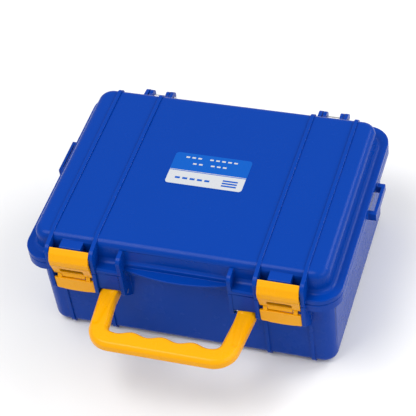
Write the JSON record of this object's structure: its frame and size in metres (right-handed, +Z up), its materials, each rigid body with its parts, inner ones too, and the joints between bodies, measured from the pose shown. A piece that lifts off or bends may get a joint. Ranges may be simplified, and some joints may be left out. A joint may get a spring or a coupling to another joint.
{
  "type": "insulation resistance tester",
  "caption": "Insulation resistance tester in a hard blue carrying case with a hinged lid, over-the-rim latches, folding grip handle, control panel and battery hatch.",
  "frame": {"origin": "middle of the underside, on the plane of the case runners and the battery hatch pad", "axes": "+X to the user's right, -Y to the front with the handle and latches, +Z up"},
  "size_m": [0.2624, 0.2554, 0.1098],
  "materials": {
    "case_blue": "satin moulded blue",
    "fitting_yellow": "satin moulded yellow",
    "gasket_rubber": "matt",
    "label_film": "printed film, plain bands",
    "pin_steel": "drawn",
    "screw_steel": "plated",
    "panel_grey": "fine texture",
    "window_clear": "polished",
    "display_green": "smooth",
    "mask_black": "matt",
    "knob_black": "fine texture",
    "switch_black": "moulded",
    "button_red": "gloss",
    "key_grey": "soft touch",
    "board_green": "solder mask",
    "spacer_nylon": "natural",
    "socket_red": "gloss",
    "socket_blue": "gloss",
    "socket_black": "gloss",
    "contact_brass": "turned",
    "module_black": "potted box",
    "capacitor_can": "sleeved",
    "tray_black": "moulded",
    "cell_jacket": "printed jacket, plain",
    "contact_steel": "nickel plated"
  },
  "bodies": {
    "base": {"base_shell": "case_blue", "battery_cover": "case_blue", "hinge_pins": "pin_steel", "latch_pins": "pin_steel", "handle_pins": "pin_steel", "panel_screws": "screw_steel", "cover_screws": "screw_steel", "front_panel": "panel_grey", "display_window": "window_clear", "display_module": "display_green", "display_frame": "mask_black", "rotary_switch": "switch_black", "test_switch": "switch_black", "key_board": "board_green", "key_switches": "switch_black", "key_posts": "spacer_nylon", "line_socket": "socket_red", "guard_socket": "socket_blue", "earth_socket": "socket_black", "socket_contacts": "contact_brass", "main_board": "board_green", "board_spacers": "spacer_nylon", "hv_module": "module_black", "capacitors": "capacitor_can", "buzzer": "switch_black", "battery_box": "tray_black", "battery_cells": "cell_jacket", "battery_contacts": "contact_steel"},
    "lid": {"lid_shell": "case_blue", "lid_gasket": "gasket_rubber", "name_label": "label_film"},
    "handle": {"handle": "fitting_yellow"},
    "lever_left": {"latch_lever_left": "fitting_yellow", "hook_pin_left": "pin_steel"},
    "lever_right": {"latch_lever_right": "fitting_yellow", "hook_pin_right": "pin_steel"},
    "hook_left": {"latch_hook_left": "fitting_yellow"},
    "hook_right": {"latch_hook_right": "fitting_yellow"},
    "knob": {"range_knob": "knob_black", "knob_shaft": "pin_steel"},
    "button": {"test_button": "button_red"},
    "key_1": {"key_one": "key_grey"},
    "key_2": {"key_two": "key_grey"},
    "key_3": {"key_three": "key_grey"},
    "key_4": {"key_four": "key_grey"}
  },
  "joints": [
    {"name": "lid_hinge", "type": "hinge", "parent": "base", "child": "lid", "pos_m": [0, 0.1012, 0.0864], "axis": [-1, 0, 0], "range_deg": [0, 105]},
    {"name": "handle_pivot", "type": "hinge", "parent": "base", "child": "handle", "pos_m": [0, -0.0905, 0.06255], "axis": [1, 0, 0], "range_deg": [0, 88]},
    {"name": "latch_left_lever", "type": "hinge", "parent": "base", "child": "lever_left", "pos_m": [-0.08175, -0.0923, 0.0816], "axis": [-1, 0, 0], "range_deg": [0, 70]},
    {"name": "latch_left_hook", "type": "hinge", "parent": "lever_left", "child": "hook_left", "pos_m": [-0.08175, -0.0956, 0.0768], "axis": [-1, 0, 0], "range_deg": [-84, 0]},
    {"name": "latch_right_lever", "type": "hinge", "parent": "base", "child": "lever_right", "pos_m": [0.08175, -0.0923, 0.0816], "axis": [-1, 0, 0], "range_deg": [0, 70]},
    {"name": "latch_right_hook", "type": "hinge", "parent": "lever_right", "child": "hook_right", "pos_m": [0.08175, -0.0956, 0.0768], "axis": [-1, 0, 0], "range_deg": [-84, 0]},
    {"name": "range_turn", "type": "hinge", "parent": "base", "child": "knob", "pos_m": [0.058, 0.024, 0.0766], "axis": [0, 0, -1], "range_deg": [0, 150]},
    {"name": "test_press", "type": "slide", "parent": "base", "child": "button", "axis": [0, 0, -1], "range_m": [0, 0.003], "stiffness_N_per_m": 400, "springref_m": -0.001},
    {"name": "key_1_press", "type": "slide", "parent": "base", "child": "key_1", "axis": [0, 0, -1], "range_m": [0, 0.0012], "stiffness_N_per_m": 600, "springref_m": -0.0005},
    {"name": "key_2_press", "type": "slide", "parent": "base", "child": "key_2", "axis": [0, 0, -1], "range_m": [0, 0.0012], "stiffness_N_per_m": 600, "springref_m": -0.0005},
    {"name": "key_3_press", "type": "slide", "parent": "base", "child": "key_3", "axis": [0, 0, -1], "range_m": [0, 0.0012], "stiffness_N_per_m": 600, "springref_m": -0.0005},
    {"name": "key_4_press", "type": "slide", "parent": "base", "child": "key_4", "axis": [0, 0, -1], "range_m": [0, 0.0012], "stiffness_N_per_m": 600, "springref_m": -0.0005}
  ],
  "couplings": [
    {"joint": "latch_left_hook", "follows": "latch_left_lever", "ratio": -1.2},
    {"joint": "latch_right_hook", "follows": "latch_right_lever", "ratio": -1.2}
  ]
}
